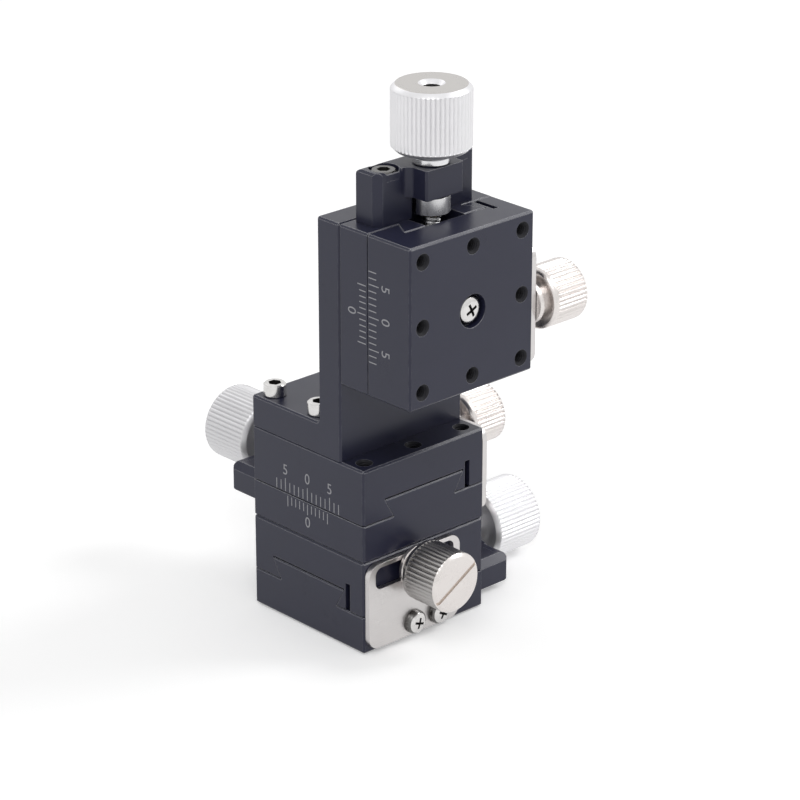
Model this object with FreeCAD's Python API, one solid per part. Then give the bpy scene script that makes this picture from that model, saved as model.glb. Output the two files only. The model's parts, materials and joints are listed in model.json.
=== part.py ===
import FreeCAD, Part
import math
import os

# XYZ translation stage: three equal dovetail stages, two stacked and one upright on an angle bracket.
# All sizes are in millimetres. +Z is up, -Y is the front, where the upright table shows its holes.
# The origin is the centre of the bottom face of the lowest base.
# Each stage is drawn once in its own frame: x is the travel, with the drive at +x, the clamp is at -y,
# the engraved side is at +y, and z runs from the base to the table.

# Stage bodies
side = 25.0                  # square outline of base and table
stage_height = 15.0          # base, parting gap and table together
base_height = 6.0
parting_gap = 0.2
edge_break = 0.3

# Travel each way from the middle
travel = 6.5

# Dovetail way
neck_width = 12.5            # male dovetail where it leaves the base
dovetail_height = 3.15
flank_angle = 60.0           # flank to the base's top face
slide_gap = 0.05             # between the flanks
ceiling_gap = 0.3            # slit over the male dovetail

# Gib: a tongue of the table between the flank and a slot that is open below; it hangs from a thin neck
gib_neck = 0.3               # metal left between the groove and the slot
gib_slot_width = 1.0
gib_slot_above = 1.1         # how far the slot runs above the ceiling
gib_screw_first = -8.0       # along the travel
gib_screw_second = 3.0
gib_screw_above_gap = 1.8    # axis over the table's lower face
gib_screw_inset = 0.2

# M2 screws and their holes; threads are left plain
screw_diameter = 1.9
tapped_diameter = 2.0
clearance_diameter = 2.4
head_diameter = 3.8
head_height = 1.3
head_dome = 0.45
head_clearance = 0.4         # counterbore over the head's diameter
socket_width = 0.9           # hexagon socket of a set screw
tip_gap = 0.2                # from a screw's tip to the bottom of its hole

# Mounting grid of a stage
hole_pitch = 10.0
tapped_depth = 3.5
counterbore_depth = 2.1

# Feed screw and nut
feed_axis = 6.2              # over the bottom of the base
feed_diameter = 3.0
nut_gap = 0.05
collar_diameter = 5.7
collar_length = 2.9
journal_diameter = 4.0
running_gap = 0.05
stub_diameter = 2.9
nut_length = 8.0
nut_width = 7.0
nut_floor_gap = 0.5
nut_end_gap = 0.5            # left in the channel at the end of the travel
channel_width = 7.8
channel_floor = 2.6

# Drive bracket
bracket_length = 8.1
bracket_width = 20.0
bracket_bottom = 1.0
bracket_top = 5.5
bracket_chamfer = 1.1
bracket_corner = 0.4
boss_length = 4.6
boss_width = 7.4
boss_fillet = 1.2
trough_gap = 0.35            # around the collar
bracket_screw_spacing = 13.8
bracket_screw_height = 3.5
bracket_screw_length = 10.0
bracket_seat_depth = 1.5
bracket_seat_diameter = 4.5

# Thrust washer and drive knob
thrust_washer_thickness = 1.0
thrust_washer_diameter = 5.6
knob_stand_off = 1.95        # from the bracket's end to the knob
drive_knob_diameter = 12.0
drive_knob_length = 9.9
drive_knob_ribs = 52
drive_knob_rib_depth = 0.28
core_inset = 0.02            # from the bottom of a knurl's grooves to the turned core
drive_knob_chamfer = 0.7
knob_hole_diameter = 2.6
knob_countersink = 3.8
knob_hole_depth = 1.5
driver_socket = 1.5          # hexagon socket in the end of the feed screw

# Clamp
clamp_gap = 0.1              # from the plate to the table, and from the washer to the plate
plate_thickness = 0.9
plate_corner = 2.0
plate_margin = 1.3           # metal left at the slot's ends
plate_bottom = 0.7
plate_top_inset = 0.4        # below the table's top face
clamp_position = -2.8        # clamp screw along the travel
clamp_below_top = 2.8        # screw axis under the table's top face
slot_height = 3.5
slot_corner = 1.2
slot_play = 0.15             # left at each end of the slot
plate_screw_first = -3.0
plate_screw_second = 2.0
plate_screw_height = 2.8
plate_screw_length = 4.6
clamp_screw_diameter = 2.9
clamp_tapped_diameter = 3.0
clamp_screw_depth = 3.8
clamp_washer_diameter = 7.0
clamp_washer_thickness = 0.8
clamp_neck_diameter = 5.5
clamp_neck_length = 1.0
clamp_knob_diameter = 9.5
clamp_knob_length = 7.2
clamp_rim_length = 0.9
clamp_knob_ribs = 40
clamp_knob_rib_depth = 0.26
clamp_knob_chamfer = 0.5
coin_slot_width = 0.6
coin_slot_depth = 0.9
coin_slot_angle = 30.0

# Angle bracket
foot_thickness = 5.0
front_strip = 5.0            # of the Y table, left free in front of the bracket
upright_thickness = 4.8
upright_height = 37.5        # from the Y table
inner_fillet = 0.7

# Worked-out sizes
half = side / 2
table_bottom = base_height + parting_gap
dovetail_top = base_height + dovetail_height
ceiling = dovetail_top + ceiling_gap
flank_slope = 1 / math.tan(math.radians(flank_angle))
flank_offset = slide_gap / math.sin(math.radians(flank_angle))
gib_back = neck_width / 2 + dovetail_height * flank_slope + flank_offset + gib_neck
gib_screw_height = table_bottom + gib_screw_above_gap
gib_screw_positions = (gib_screw_first, gib_screw_second)
table_clamp_side = -half + clamp_gap
channel_start = -(nut_length / 2 + travel + nut_end_gap)
bracket_end = half + bracket_length
boss_start = bracket_end - boss_length
collar_start = boss_start - running_gap - collar_length
seat_diameter = head_diameter + head_clearance
seat_height = base_height - counterbore_depth
knob_start = bracket_end + knob_stand_off
knob_end = knob_start + drive_knob_length
plate_outer = -half - plate_thickness
plate_top = stage_height - plate_top_inset
plate_screw_positions = (plate_screw_first, plate_screw_second)
clamp_height = stage_height - clamp_below_top
washer_seat = plate_outer - clamp_gap
neck_start = washer_seat - clamp_washer_thickness
clamp_knob_start = neck_start - clamp_neck_length
slot_half = travel + clamp_screw_diameter / 2 + slot_play
upright_front = -half + front_strip

X = FreeCAD.Vector(1, 0, 0)
Y = FreeCAD.Vector(0, 1, 0)
Z = FreeCAD.Vector(0, 0, 1)
CORNERS = [(sx * hole_pitch, sy * hole_pitch) for sx in (-1, 1) for sy in (-1, 1)]
MIDDLES = [(-hole_pitch, 0), (hole_pitch, 0), (0, -hole_pitch), (0, hole_pitch)]


def point(x, y, z):
    return FreeCAD.Vector(x, y, z)


def box(x, y, z):
    """Block between the two values of each pair."""
    return Part.makeBox(x[1] - x[0], y[1] - y[0], z[1] - z[0], point(x[0], y[0], z[0]))


def rod(diameter, start, direction, length):
    return Part.makeCylinder(diameter / 2, length, start, direction)


def bar(outline, x):
    """Straight bar along x with a closed outline of (y, z) points."""
    corners = [point(x[0], y, z) for y, z in outline]
    face = Part.Face(Part.makePolygon(corners + corners[:1]))
    return face.extrude(point(x[1] - x[0], 0, 0))


def aimed(shape, start, direction):
    """Move a piece drawn along +x from the origin to its start and direction."""
    moved = shape.copy()
    moved.Placement = FreeCAD.Placement(start, FreeCAD.Rotation(X, direction))
    return moved


def turned(profile):
    """Turned piece on the x axis from (distance, radius) points that start and end on the axis."""
    corners = [point(distance, 0, radius) for distance, radius in profile]
    face = Part.Face(Part.makePolygon(corners + corners[:1]))
    return face.revolve(point(0, 0, 0), X, 360)


def hexagon(width, start, direction, depth):
    """Hexagonal prism, measured across its flats."""
    radius = width / math.sqrt(3)
    corners = [point(0, radius * math.cos(turn), radius * math.sin(turn))
               for turn in (math.radians(60 * step) for step in range(7))]
    return aimed(Part.Face(Part.makePolygon(corners)).extrude(X * depth), start, direction)


def edges_where(shape, test):
    return [edge for edge in shape.Edges if test(edge.BoundBox)]


def flat_at(low, high, value):
    return abs(low - value) < 1e-6 and abs(high - value) < 1e-6


def broken_block(x, y, z, parting):
    """Block with all its edges broken, apart from those in the parting plane."""
    block = box(x, y, z)
    outer = edges_where(block, lambda b: not flat_at(b.ZMin, b.ZMax, parting))
    return block.makeChamfer(edge_break, outer)


def half_width(height, offset=0.0):
    """Half the dovetail's width at a height over the stage's bottom."""
    return neck_width / 2 + offset + (height - base_height) * flank_slope


def pan_head_screw(length, start, direction):
    """Screw with its head's underside at the start and its shank along the direction."""
    radius = head_diameter / 2
    profile = [(-head_height, 0), (-head_height, radius - head_dome), (-head_height + head_dome, radius),
               (0, radius), (0, screw_diameter / 2), (length, screw_diameter / 2), (length, 0)]
    return aimed(turned(profile), start, direction)


def knurled(diameter, ribs, rib_depth, length, start_chamfer, end_chamfer):
    """Straight-knurled cylinder along +x: ribs between the two chamfers of a turned core."""
    tip = diameter / 2
    root = tip - rib_depth
    core = root - core_inset
    ends = (start_chamfer - tip + core, length - end_chamfer + tip - core)
    turns = [math.pi * step / ribs for step in range(2 * ribs)]
    outline = [(r * math.cos(t), r * math.sin(t)) for r, t in zip([tip, root] * ribs, turns)]
    shaft = turned([(0, 0), (0, tip - start_chamfer), (ends[0], core), (ends[1], core),
                    (length, tip - end_chamfer), (length, 0)])
    return bar(outline, ends).fuse(shaft)


def base():
    """Lower half of a stage, with the male dovetail and the open channel for the nut."""
    block = broken_block((-half, half), (-half, half), (0, base_height), base_height)
    sunk = base_height / 2
    neck, top = neck_width / 2, half_width(dovetail_top)
    way = bar([(-neck, sunk), (-neck, base_height), (-top, dovetail_top),
               (top, dovetail_top), (neck, base_height), (neck, sunk)], (-half, half))
    body = block.fuse(way).removeSplitter()
    cuts = [box((channel_start, half), (-channel_width / 2, channel_width / 2), (channel_floor, stage_height))]
    for x, y in CORNERS:
        cuts.append(rod(clearance_diameter, point(x, y, 0), Z, base_height))
        cuts.append(rod(seat_diameter, point(x, y, seat_height), Z, counterbore_depth))
    for y in (-bracket_screw_spacing / 2, bracket_screw_spacing / 2):
        reach = bracket_screw_length - (bracket_length - bracket_seat_depth) + tip_gap
        cuts.append(rod(tapped_diameter, point(half, y, bracket_screw_height), -X, reach))
    for x in plate_screw_positions:
        reach = plate_screw_length - plate_thickness + tip_gap
        cuts.append(rod(tapped_diameter, point(x, -half, plate_screw_height), Y, reach))
    return body.cut(cuts)


def table():
    """Upper half of a stage, with the female dovetail and the gib that hangs beside its slot."""
    block = broken_block((-half, half), (table_clamp_side, half), (table_bottom, stage_height), table_bottom)
    mouth = half_width(table_bottom - parting_gap, flank_offset)
    roof = half_width(dovetail_top, flank_offset)
    groove = bar([(-mouth, table_bottom - parting_gap), (-roof, dovetail_top), (-roof, ceiling), (roof, ceiling),
                  (roof, dovetail_top), (mouth, table_bottom - parting_gap)], (-half, half))
    slot = box((-half, half), (-gib_back - gib_slot_width, -gib_back),
               (table_bottom - parting_gap, ceiling + gib_slot_above))
    cuts = [groove, slot]
    for x, y in CORNERS + MIDDLES:
        cuts.append(rod(tapped_diameter, point(x, y, stage_height - tapped_depth), Z, tapped_depth))
    cuts.append(rod(clearance_diameter, point(0, 0, ceiling), Z, stage_height - ceiling))
    cuts.append(rod(seat_diameter, point(0, 0, stage_height - head_height - tip_gap), Z, head_height + tip_gap))
    for x in gib_screw_positions:
        cuts.append(rod(tapped_diameter, point(x, table_clamp_side, gib_screw_height), Y,
                        -table_clamp_side - gib_back))
    cuts.append(rod(clamp_tapped_diameter, point(clamp_position, table_clamp_side, clamp_height), Y,
                    clamp_screw_depth + tip_gap))
    return block.cut(cuts)


def drive_bracket():
    """Bearing bracket on the base's end: two low ears and a boss that the table's groove passes over."""
    width = bracket_width / 2
    ears = box((half, bracket_end), (-width, width), (bracket_bottom, bracket_top))
    shoulders = edges_where(ears, lambda b: flat_at(b.ZMin, b.ZMax, bracket_top) and b.XLength > 1)
    ears = ears.makeChamfer(bracket_chamfer, shoulders)
    corners = edges_where(ears, lambda b: flat_at(b.XMin, b.XMax, bracket_end)
                          and abs(abs(b.YMin + b.YMax) / 2 - width) < bracket_chamfer)
    ears = ears.makeChamfer(bracket_corner, [edge for edge in corners if edge.BoundBox.YLength < 1e-6])
    boss = box((boss_start, bracket_end), (-boss_width / 2, boss_width / 2), (bracket_bottom, dovetail_top))
    boss = boss.makeChamfer(edge_break, edges_where(
        boss, lambda b: flat_at(b.ZMin, b.ZMax, dovetail_top) and b.XLength > 1))
    body = ears.fuse(boss).removeSplitter()
    roots = edges_where(body, lambda b: flat_at(b.ZMin, b.ZMax, bracket_top) and b.YLength < 1e-6
                        and flat_at(abs(b.YMin), abs(b.YMax), boss_width / 2))
    body = body.makeFillet(boss_fillet, roots)
    trough = collar_diameter / 2 + trough_gap
    cuts = [box((half, boss_start), (-trough, trough), (feed_axis - trough, stage_height)),
            rod(journal_diameter + 2 * running_gap, point(half, 0, feed_axis), X, bracket_length)]
    for y in (-bracket_screw_spacing / 2, bracket_screw_spacing / 2):
        cuts.append(rod(clearance_diameter, point(half, y, bracket_screw_height), X, bracket_length))
        cuts.append(rod(bracket_seat_diameter, point(bracket_end - bracket_seat_depth, y, bracket_screw_height),
                        X, bracket_seat_depth))
    return body.cut(cuts)


def bracket_screws():
    seat = bracket_end - bracket_seat_depth
    return [pan_head_screw(bracket_screw_length, point(seat, y, bracket_screw_height), -X)
            for y in (-bracket_screw_spacing / 2, bracket_screw_spacing / 2)]


def feed_screw():
    """Thread, thrust collar, journal and the stub that carries the knob, turned from one bar."""
    start = channel_start + nut_end_gap / 2
    stub_end = knob_end - knob_hole_depth - running_gap
    profile = [(start, 0), (start, feed_diameter / 2), (collar_start, feed_diameter / 2),
               (collar_start, collar_diameter / 2), (collar_start + collar_length, collar_diameter / 2),
               (collar_start + collar_length, journal_diameter / 2), (knob_start, journal_diameter / 2),
               (knob_start, stub_diameter / 2), (stub_end, stub_diameter / 2), (stub_end, 0)]
    spindle = aimed(turned(profile), point(0, 0, feed_axis), X)
    return spindle.cut(hexagon(driver_socket, point(stub_end, 0, feed_axis), -X, driver_socket))


def thrust_washer():
    start = bracket_end + running_gap
    ring = rod(thrust_washer_diameter, point(start, 0, feed_axis), X, thrust_washer_thickness)
    return ring.cut(rod(journal_diameter + 2 * running_gap, point(start, 0, feed_axis), X,
                        thrust_washer_thickness))


def drive_knob():
    """Knurled knob, seated on the shoulder of the feed screw, open at its end for a driver."""
    knob = knurled(drive_knob_diameter, drive_knob_ribs, drive_knob_rib_depth, drive_knob_length,
                   drive_knob_chamfer, drive_knob_chamfer)
    sink = (knob_countersink - knob_hole_diameter) / 2
    bore_end = drive_knob_length - knob_hole_depth
    bore_radius = stub_diameter / 2 + running_gap
    hole = turned([(0, 0), (0, bore_radius), (bore_end, bore_radius), (bore_end, knob_hole_diameter / 2),
                   (drive_knob_length - sink, knob_hole_diameter / 2), (drive_knob_length, knob_countersink / 2),
                   (drive_knob_length, 0)])
    return aimed(knob.cut(hole), point(knob_start, 0, feed_axis), X)


def nut():
    """Brass nut that hangs from the table's ceiling in the base's channel."""
    block = box((-nut_length / 2, nut_length / 2), (-nut_width / 2, nut_width / 2),
                (channel_floor + nut_floor_gap, ceiling))
    bore = rod(feed_diameter + 2 * nut_gap, point(-nut_length / 2, 0, feed_axis), X, nut_length)
    tapped = rod(tapped_diameter, point(0, 0, feed_axis), Z, ceiling - feed_axis)
    return block.cut([bore, tapped])


def nut_screw():
    seat = stage_height - head_height - tip_gap
    tip = feed_axis + feed_diameter / 2 + tip_gap
    return [pan_head_screw(seat - tip, point(0, 0, seat), -Z)]


def gib_screws():
    """Set screws through the table's wall that press the gib against the dovetail."""
    start = table_clamp_side + gib_screw_inset
    screws = []
    for x in gib_screw_positions:
        mouth = point(x, start, gib_screw_height)
        grub = rod(screw_diameter, mouth, Y, -gib_back - start)
        screws.append(grub.cut(hexagon(socket_width, mouth, Y, socket_width)))
    return screws


def rounded_plate(x, z, y, corner):
    """Flat plate with its four corners rounded; y gives its two faces."""
    plate = box(x, y, z)
    return plate.makeFillet(corner, edges_where(plate, lambda b: b.XLength < 1e-6 and b.ZLength < 1e-6))


def clamp_plate():
    """Stainless plate on the base's side; its slot lets the clamp screw travel with the table."""
    ends = (clamp_position - slot_half, clamp_position + slot_half)
    faces = (plate_outer, -half)
    plate = rounded_plate((ends[0] - plate_margin, ends[1] + plate_margin), (plate_bottom, plate_top),
                          faces, plate_corner)
    slot = rounded_plate(ends, (clamp_height - slot_height / 2, clamp_height + slot_height / 2),
                         faces, slot_corner)
    holes = [rod(clearance_diameter, point(x, plate_outer, plate_screw_height), Y, plate_thickness)
             for x in plate_screw_positions]
    return plate.cut([slot] + holes)


def clamp_plate_screws():
    return [pan_head_screw(plate_screw_length, point(x, plate_outer, plate_screw_height), Y)
            for x in plate_screw_positions]


def clamp_washer():
    centre = point(clamp_position, washer_seat, clamp_height)
    ring = rod(clamp_washer_diameter, centre, -Y, clamp_washer_thickness)
    return ring.cut(rod(clamp_tapped_diameter, centre, -Y, clamp_washer_thickness))


def clamp_knob():
    """Thumb screw: shank, neck, smooth rear rim and knurled head with a slot for a coin."""
    shank_end = -table_clamp_side + neck_start - clamp_screw_depth
    radius = clamp_knob_diameter / 2
    screw = turned([(shank_end, 0), (shank_end, clamp_screw_diameter / 2), (0, clamp_screw_diameter / 2),
                    (0, clamp_neck_diameter / 2), (clamp_neck_length, clamp_neck_diameter / 2),
                    (clamp_neck_length, radius - edge_break), (clamp_neck_length + edge_break, radius),
                    (clamp_neck_length + clamp_rim_length, radius), (clamp_neck_length + clamp_rim_length, 0)])
    grip_length = clamp_knob_length - clamp_rim_length
    grip = knurled(clamp_knob_diameter, clamp_knob_ribs, clamp_knob_rib_depth, grip_length,
                   edge_break, clamp_knob_chamfer)
    grip.translate(X * (clamp_neck_length + clamp_rim_length))
    end = clamp_neck_length + clamp_knob_length
    coin_slot = box((end - coin_slot_depth, end), (-radius, radius), (-coin_slot_width / 2, coin_slot_width / 2))
    coin_slot.rotate(point(0, 0, 0), X, coin_slot_angle)
    knob = screw.fuse(grip).cut(coin_slot)
    return aimed(knob, point(clamp_position, neck_start, clamp_height), -Y)


def base_screws():
    """Four screws down through a base into the part that carries it."""
    length = seat_height + tapped_depth - tip_gap
    return [pan_head_screw(length, point(x, y, seat_height), -Z) for x, y in CORNERS]


def angle_bracket():
    """L-shaped bracket: its foot lies on the Y table and its upright carries the Z stage."""
    bottom = 2 * stage_height
    back = upright_front + upright_thickness
    foot_top = bottom + foot_thickness
    body = bar([(upright_front, bottom), (half, bottom), (half, foot_top), (back, foot_top),
                (back, bottom + upright_height), (upright_front, bottom + upright_height)], (-half, half))
    inner = edges_where(body, lambda b: flat_at(b.YMin, b.YMax, back) and flat_at(b.ZMin, b.ZMax, foot_top))
    body = body.makeFillet(inner_fillet, inner)
    top = bottom + upright_height
    outline = edges_where(body, lambda b: b.XLength < 1e-6 and b.ZMax > bottom + 1e-6)
    crests = edges_where(body, lambda b: flat_at(b.ZMin, b.ZMax, top) and b.XLength > 1)
    heel = edges_where(body, lambda b: flat_at(b.ZMin, b.ZMax, foot_top) and flat_at(b.YMin, b.YMax, half))
    body = body.makeChamfer(edge_break, outline + crests + heel)
    cuts = [rod(clearance_diameter, point(x, y, bottom), Z, foot_thickness) for x, y in foot_holes()]
    middle = top - half
    for across, up in CORNERS:
        cuts.append(rod(tapped_diameter, point(across, upright_front, middle + up), Y, upright_thickness))
    return body.cut(cuts)


def foot_holes():
    return [(x, y) for x in (-hole_pitch, hole_pitch) for y in (0, hole_pitch)]


def foot_screws():
    seat = 2 * stage_height + foot_thickness
    length = foot_thickness + tapped_depth - tip_gap
    return [pan_head_screw(length, point(x, y, seat), -Z) for x, y in foot_holes()]


def export(name, shapes):
    """Write one node; several like fasteners stay separate solids in it."""
    group = shapes if isinstance(shapes, list) else [shapes]
    solids = [solid for shape in group for solid in shape.Solids]
    shape = solids[0] if len(solids) == 1 else Part.makeCompound(solids)
    if not all(solid.isValid() for solid in solids):
        raise ValueError(name + " is not a valid solid")
    shape.exportStep("parts/" + name + ".step")


def placed(shapes, placement):
    group = shapes if isinstance(shapes, list) else [shapes]
    moved = []
    for shape in group:
        copy = shape.copy()
        copy.Placement = placement.multiply(copy.Placement)
        moved.append(copy)
    return moved


STAGE_PIECES = {
    "base": base,
    "table": table,
    "drive_bracket": drive_bracket,
    "bracket_screws": bracket_screws,
    "feed_screw": feed_screw,
    "thrust_washer": thrust_washer,
    "drive_knob": drive_knob,
    "nut": nut,
    "nut_screw": nut_screw,
    "gib_screws": gib_screws,
    "clamp_plate": clamp_plate,
    "clamp_plate_screws": clamp_plate_screws,
    "clamp_washer": clamp_washer,
    "clamp_knob": clamp_knob,
}

turn_y = FreeCAD.Rotation(Z, 90)
turn_z = FreeCAD.Rotation(Z, -X, -Y, "XYZ")
z_centre = 2 * stage_height + upright_height - half
TABLE_NAMES = {"x": "lower_table", "y": "cross_table", "z": "upright_table"}
STAGES = {
    "x": FreeCAD.Placement(point(0, 0, 0), FreeCAD.Rotation()),
    "y": FreeCAD.Placement(point(0, 0, stage_height), turn_y),
    "z": FreeCAD.Placement(point(0, upright_front, z_centre), turn_z),
}

os.makedirs("parts", exist_ok=True)
drawn = {piece: draw() for piece, draw in STAGE_PIECES.items()}
for stage, placement in STAGES.items():
    for piece, shapes in drawn.items():
        name = TABLE_NAMES[stage] if piece == "table" else stage + "_" + piece
        export(name, placed(shapes, placement))
for stage in ("y", "z"):
    export(stage + "_base_screws", placed(base_screws(), STAGES[stage]))
export("z_angle_bracket", angle_bracket())
export("foot_screws", foot_screws())
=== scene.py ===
import json
import math

import bmesh
import bpy
import numpy as np
from mathutils import Matrix, Vector

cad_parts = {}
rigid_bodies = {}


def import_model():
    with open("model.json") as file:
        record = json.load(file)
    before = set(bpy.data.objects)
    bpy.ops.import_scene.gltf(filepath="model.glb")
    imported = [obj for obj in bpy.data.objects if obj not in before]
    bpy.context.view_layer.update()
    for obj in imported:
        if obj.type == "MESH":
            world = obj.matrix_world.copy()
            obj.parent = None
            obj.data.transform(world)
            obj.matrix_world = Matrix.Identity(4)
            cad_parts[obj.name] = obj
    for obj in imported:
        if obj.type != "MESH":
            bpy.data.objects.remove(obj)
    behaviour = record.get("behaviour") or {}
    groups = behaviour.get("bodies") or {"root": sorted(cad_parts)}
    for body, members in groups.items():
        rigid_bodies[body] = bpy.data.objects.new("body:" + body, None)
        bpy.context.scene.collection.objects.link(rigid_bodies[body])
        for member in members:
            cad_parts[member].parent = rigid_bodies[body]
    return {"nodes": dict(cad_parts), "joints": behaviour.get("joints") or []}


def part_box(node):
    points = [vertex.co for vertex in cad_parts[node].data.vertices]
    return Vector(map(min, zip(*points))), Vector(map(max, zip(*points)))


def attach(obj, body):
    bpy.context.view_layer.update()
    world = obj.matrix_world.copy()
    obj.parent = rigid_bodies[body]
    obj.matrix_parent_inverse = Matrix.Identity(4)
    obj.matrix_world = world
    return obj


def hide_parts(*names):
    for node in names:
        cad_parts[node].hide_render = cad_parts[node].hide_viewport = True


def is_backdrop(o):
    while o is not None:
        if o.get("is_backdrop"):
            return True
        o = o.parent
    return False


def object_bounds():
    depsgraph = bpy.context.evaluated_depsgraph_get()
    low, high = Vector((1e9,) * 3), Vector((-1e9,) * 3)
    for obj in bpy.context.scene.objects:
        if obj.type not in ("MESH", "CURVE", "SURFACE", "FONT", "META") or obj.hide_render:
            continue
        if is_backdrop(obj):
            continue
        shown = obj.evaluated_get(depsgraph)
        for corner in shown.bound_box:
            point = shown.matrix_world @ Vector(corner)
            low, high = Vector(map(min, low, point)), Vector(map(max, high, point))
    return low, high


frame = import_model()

cad_low, cad_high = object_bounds()
scene = bpy.context.scene
STAGES = ("x", "y", "z")

# Stage bases: the lower half of each slide, a 25 mm square block with the male dovetail on top.
# Milled from aluminium, blasted to a fine satin grain and anodised black. A stage's own frame is
# laid on its base: x along the travel, y to the engraved side, z to the table, in millimetres.
joints = {joint["name"]: joint for joint in frame["joints"]}


def stage_frame(stage):
    along = Vector(joints[stage + "_travel"]["axis"])
    across = -Vector(joints[stage + "_clamp_travel"]["axis"])
    up = along.cross(across)
    low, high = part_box(stage + "_base")
    foot = (low + high) / 2 - up * abs(up.dot(high - low)) / 2
    turn = Matrix((along, across, up)).transposed().to_4x4()
    return Matrix.Translation(foot) @ turn @ Matrix.Diagonal((0.001, 0.001, 0.001, 1))


frames = {stage: stage_frame(stage) for stage in STAGES}
carrier = {stage: joints[stage + "_travel"]["parent"] for stage in STAGES}
carriage = {stage: joints[stage + "_travel"]["child"] for stage in STAGES}


def stage_box(stage, node):
    """A CAD node's corners in a stage's own millimetres."""
    corners = [frames[stage].inverted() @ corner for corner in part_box(node)]
    return (Vector(map(min, *corners)), Vector(map(max, *corners)))


def add(tree, kind, inputs=None, **settings):
    """One node with its settings; an input takes a value or another node's output."""
    made = tree.nodes.new(kind)
    for name, value in settings.items():
        setattr(made, name, value)
    for name, value in (inputs or {}).items():
        if isinstance(value, bpy.types.NodeSocket):
            tree.links.new(value, made.inputs[name])
        else:
            made.inputs[name].default_value = value
    return made


def math_node(tree, operation, *values, clamp=False):
    made = add(tree, "ShaderNodeMath", dict(enumerate(values)), operation=operation, use_clamp=clamp)
    return made.outputs[0]


def remap(tree, value, from_low, from_high, to_low=0.0, to_high=1.0):
    made = add(tree, "ShaderNodeMapRange", {"Value": value, "From Min": from_low, "From Max": from_high,
                                            "To Min": to_low, "To Max": to_high})
    return made.outputs[0]


def blend_colours(tree, share, first, second):
    made = add(tree, "ShaderNodeMix", {0: share, 6: first, 7: second}, data_type="RGBA")
    return made.outputs[2]


def sum_of_products(tree, first, share, second, other_share, clamp=False):
    rest = math_node(tree, "MULTIPLY", second, other_share)
    return math_node(tree, "MULTIPLY_ADD", first, share, rest, clamp=clamp)


def new_group(name, kind, inputs, outputs):
    """A node group with named sockets; each is (name, type) or (name, type, value)."""
    group = bpy.data.node_groups.new(name, kind)
    for way, sockets in (("INPUT", inputs), ("OUTPUT", outputs)):
        for label, socket, *value in sockets:
            made = group.interface.new_socket(label, in_out=way, socket_type="NodeSocket" + socket)
            if value:
                made.default_value = value[0]
    given = group.nodes.new("NodeGroupInput").outputs
    result = group.nodes.new("NodeGroupOutput").inputs
    return group, given, result


satin_grain, given, result = new_group(
    "satin grain", "ShaderNodeTree",
    [("Vector", "Vector"), ("Grain Size", "Float", 0.0001), ("Mottle Size", "Float", 0.01),
     ("Smoothest", "Float", 0.3), ("Roughest", "Float", 0.4)],
    [("Height", "Float"), ("Mottle", "Float"), ("Roughness", "Float")])
grain = add(satin_grain, "ShaderNodeTexNoise",
            {"Vector": given["Vector"], "Scale": math_node(satin_grain, "DIVIDE", 1.0, given["Grain Size"]),
             "Detail": 2.0, "Roughness": 0.6})
mottle = add(satin_grain, "ShaderNodeTexNoise",
             {"Vector": given["Vector"], "Scale": math_node(satin_grain, "DIVIDE", 1.0, given["Mottle Size"]),
              "Detail": 4.0, "Roughness": 0.55})
shares = sum_of_products(satin_grain, mottle.outputs[0], 0.7, grain.outputs[0], 0.3)
spread = remap(satin_grain, shares, 0.35, 0.65, given["Smoothest"], given["Roughest"])
satin_grain.links.new(grain.outputs[0], result["Height"])
satin_grain.links.new(mottle.outputs[0], result["Mottle"])
satin_grain.links.new(spread, result["Roughness"])

# Edge wear and painted highlight: a mask of worn edges, a mask of up-facing edges for a painted highlight,
# and a rounded normal.
edge_wear_and_highlight, given, result = new_group(
    "edge wear and painted highlight", "ShaderNodeTree",
    [("Vector", "Vector"), ("Edge Width", "Float", 0.0002), ("Patch Size", "Float", 0.002)],
    [("Mask", "Float"), ("Upper Mask", "Float"), ("Rounded Normal", "Vector")])
rounded = add(edge_wear_and_highlight, "ShaderNodeBevel", {"Radius": given["Edge Width"]}, samples=4)
surface = add(edge_wear_and_highlight, "ShaderNodeNewGeometry")
turned_by = add(edge_wear_and_highlight, "ShaderNodeVectorMath", {0: rounded.outputs[0], 1: surface.outputs["Normal"]},
                operation="DOT_PRODUCT")
turned_away = remap(edge_wear_and_highlight, turned_by.outputs["Value"], 0.985, 0.9)
patches = add(edge_wear_and_highlight, "ShaderNodeTexNoise",
              {"Vector": given["Vector"], "Scale": math_node(edge_wear_and_highlight, "DIVIDE", 1.0, given["Patch Size"]),
               "Detail": 3.0})
broken = remap(edge_wear_and_highlight, patches.outputs[0], 0.38, 0.62, 0.25)
edge_wear_and_highlight.links.new(math_node(edge_wear_and_highlight, "MULTIPLY", turned_away, broken), result["Mask"])
edge_wear_and_highlight.links.new(rounded.outputs[0], result["Rounded Normal"])
# Painted highlight: edges whose rounded normal faces up.
lifted = add(edge_wear_and_highlight, "ShaderNodeSeparateXYZ", {"Vector": rounded.outputs[0]})
up_facing_highlight = remap(edge_wear_and_highlight, lifted.outputs[2], 0.2, 0.6)
edge_wear_and_highlight.links.new(math_node(edge_wear_and_highlight, "MULTIPLY", turned_away, up_facing_highlight), result["Upper Mask"])


def new_material(name, place=None):
    """A material, its shader and Object coordinates, in a piece's own frame if its place is given."""
    material = bpy.data.materials.new(name)
    material.use_nodes = True
    tree = material.node_tree
    shader = tree.nodes["Principled BSDF"]
    vector = add(tree, "ShaderNodeTexCoord").outputs["Object"]
    if place:
        move, turn, size = place.inverted().decompose()
        inputs = {"Vector": vector, "Location": move * 0.001, "Rotation": turn.to_euler(),
                  "Scale": size * 0.001}
        vector = add(tree, "ShaderNodeMapping", inputs).outputs[0]
    return material, tree, shader, vector


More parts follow.
